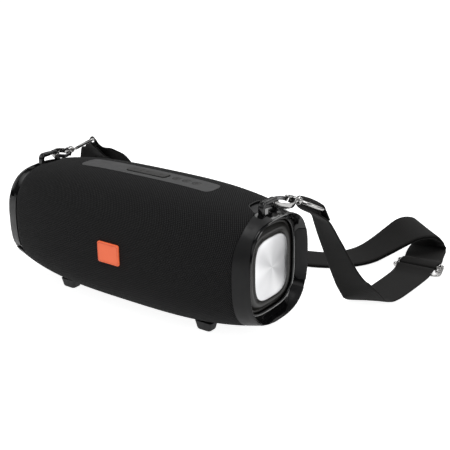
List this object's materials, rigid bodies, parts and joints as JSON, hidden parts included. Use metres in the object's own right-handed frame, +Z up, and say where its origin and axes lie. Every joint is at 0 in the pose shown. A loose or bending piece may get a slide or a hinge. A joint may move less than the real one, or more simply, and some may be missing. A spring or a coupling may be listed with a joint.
{
  "type": "portable speaker",
  "caption": "Barrel-shaped portable speaker with a fabric wrap, metal end radiators, top keys, a rear port door and a clip-on webbing shoulder strap.",
  "frame": {"origin": "on the floor, under the middle of the box round the whole object with its strap laid out; the middle of the barrel is 26.38 mm in -X and 101.49 mm in -Y from it", "axes": "+X along the barrel to its right end seen from the front, -Y towards the front face with the badge, +Z up"},
  "size_m": [0.342, 0.3198, 0.1297],
  "materials": {
    "knit_cloth": "fine diagonal knit, matt",
    "satin_plastic": "satin moulded plastic",
    "gloss_plastic": "glossy black",
    "panel_rubber": "smooth matt rubber",
    "surround_rubber": "dark brown-black rubber",
    "inner_plastic": "plain moulding",
    "bright_metal": "radially turned, bright",
    "chrome": "polished plating",
    "steel": "plain pressed steel",
    "webbing": "tight ribbed webbing",
    "badge_orange": "orange, blank",
    "cone_paper": "coated paper look",
    "board_green": "solder-masked board",
    "battery_wrap": "shrink-wrapped pack"
  },
  "bodies": {
    "cabinet": {"fabric_sleeve": "knit_cloth", "grille_cage": "inner_plastic", "enclosure_front_shell": "inner_plastic", "enclosure_rear_shell": "inner_plastic", "port_panel": "inner_plastic", "left_end_frame": "gloss_plastic", "left_front_bumper": "satin_plastic", "left_rear_bumper": "satin_plastic", "left_lug_bar": "satin_plastic", "left_front_foot": "satin_plastic", "left_rear_foot": "satin_plastic", "left_radiator_surround": "surround_rubber", "left_driver_surround": "surround_rubber", "left_driver_basket": "steel", "left_driver_magnet": "steel", "right_end_frame": "gloss_plastic", "right_front_bumper": "satin_plastic", "right_rear_bumper": "satin_plastic", "right_lug_bar": "satin_plastic", "right_front_foot": "satin_plastic", "right_rear_foot": "satin_plastic", "right_radiator_surround": "surround_rubber", "right_driver_surround": "surround_rubber", "right_driver_basket": "steel", "right_driver_magnet": "steel", "battery_pack": "battery_wrap", "main_circuit_board": "board_green", "button_board": "board_green", "control_panel": "panel_rubber", "front_badge": "badge_orange", "charging_socket": "steel", "audio_socket": "steel", "strap_webbing": "webbing", "strap_second_layer": "webbing"},
    "left_radiator": {"left_radiator_plate": "bright_metal"},
    "right_radiator": {"right_radiator_plate": "bright_metal"},
    "left_cone": {"left_driver_cone": "cone_paper"},
    "right_cone": {"right_driver_cone": "cone_paper"},
    "port_cover": {"port_cover": "panel_rubber"},
    "left_hook": {"left_hook_body": "chrome"},
    "right_hook": {"right_hook_body": "chrome"},
    "left_gate": {"left_hook_gate": "chrome"},
    "right_gate": {"right_hook_gate": "chrome"},
    "left_ring": {"left_swivel_ring": "chrome", "left_strap_loop": "webbing"},
    "right_ring": {"right_swivel_ring": "chrome", "right_strap_loop": "webbing"},
    "slider": {"strap_slider": "steel"},
    "volume_down_key": {"volume_down_key": "panel_rubber"},
    "play_key": {"play_key": "panel_rubber"},
    "volume_up_key": {"volume_up_key": "panel_rubber"},
    "pairing_key": {"pairing_key": "panel_rubber"},
    "link_key": {"link_key": "panel_rubber"},
    "power_key": {"power_key": "panel_rubber"}
  },
  "joints": [
    {"name": "left_radiator_stroke", "type": "slide", "parent": "cabinet", "child": "left_radiator", "axis": [-1, 0, 0], "range_m": [-0.003, 0.003], "stiffness_N_per_m": 1500},
    {"name": "left_cone_stroke", "type": "slide", "parent": "cabinet", "child": "left_cone", "axis": [0, -1, 0], "range_m": [-0.002, 0.002], "stiffness_N_per_m": 1500},
    {"name": "right_radiator_stroke", "type": "slide", "parent": "cabinet", "child": "right_radiator", "axis": [1, 0, 0], "range_m": [-0.003, 0.003], "stiffness_N_per_m": 1500},
    {"name": "right_cone_stroke", "type": "slide", "parent": "cabinet", "child": "right_cone", "axis": [0, -1, 0], "range_m": [-0.002, 0.002], "stiffness_N_per_m": 1500},
    {"name": "volume_down_key_press", "type": "slide", "parent": "cabinet", "child": "volume_down_key", "axis": [0, 0, -1], "range_m": [0, 0.0006], "stiffness_N_per_m": 800},
    {"name": "play_key_press", "type": "slide", "parent": "cabinet", "child": "play_key", "axis": [0, 0, -1], "range_m": [0, 0.0006], "stiffness_N_per_m": 800},
    {"name": "volume_up_key_press", "type": "slide", "parent": "cabinet", "child": "volume_up_key", "axis": [0, 0, -1], "range_m": [0, 0.0006], "stiffness_N_per_m": 800},
    {"name": "pairing_key_press", "type": "slide", "parent": "cabinet", "child": "pairing_key", "axis": [0, 0, -1], "range_m": [0, 0.0006], "stiffness_N_per_m": 800},
    {"name": "link_key_press", "type": "slide", "parent": "cabinet", "child": "link_key", "axis": [0, 0, -1], "range_m": [0, 0.0006], "stiffness_N_per_m": 800},
    {"name": "power_key_press", "type": "slide", "parent": "cabinet", "child": "power_key", "axis": [0, 0, -1], "range_m": [0, 0.0006], "stiffness_N_per_m": 800},
    {"name": "port_cover_hinge", "type": "hinge", "parent": "cabinet", "child": "port_cover", "pos_m": [-0.02638, -0.04449, 0.0505], "axis": [-1, 0, 0], "range_deg": [0, 95]},
    {"name": "left_hook_swing", "type": "hinge", "parent": "cabinet", "child": "left_hook", "pos_m": [-0.15538, -0.08924, 0.1158], "axis": [0, 0, 1], "range_deg": [-3, 14]},
    {"name": "left_gate_hinge", "type": "hinge", "parent": "left_hook", "child": "left_gate", "pos_m": [-0.15388, -0.07162, 0.11405], "axis": [0.031, -0.1011, -0.9944], "range_deg": [0, 20], "stiffness_Nm_per_rad": 0.02},
    {"name": "left_ring_swivel", "type": "hinge", "parent": "left_hook", "child": "left_ring", "pos_m": [-0.16448, -0.05959, 0.1125], "axis": [-0.2918, 0.9506, -0.1058], "range_deg": [-12, 12]},
    {"name": "right_hook_swing", "type": "hinge", "parent": "cabinet", "child": "right_hook", "pos_m": [0.10262, -0.08924, 0.1158], "axis": [0, 0, 1], "range_deg": [-14, 3]},
    {"name": "right_gate_hinge", "type": "hinge", "parent": "right_hook", "child": "right_gate", "pos_m": [0.09947, -0.07205, 0.1126], "axis": [0.0397, 0.1902, 0.9809], "range_deg": [0, 20], "stiffness_Nm_per_rad": 0.02},
    {"name": "right_ring_swivel", "type": "hinge", "parent": "right_hook", "child": "right_ring", "pos_m": [0.10892, -0.05909, 0.1097], "axis": [0.2006, 0.9602, -0.1943], "range_deg": [-12, 12]},
    {"name": "slider_adjust", "type": "slide", "parent": "cabinet", "child": "slider", "axis": [0, 1, 0], "range_m": [-0.008, 0.008]}
  ]
}
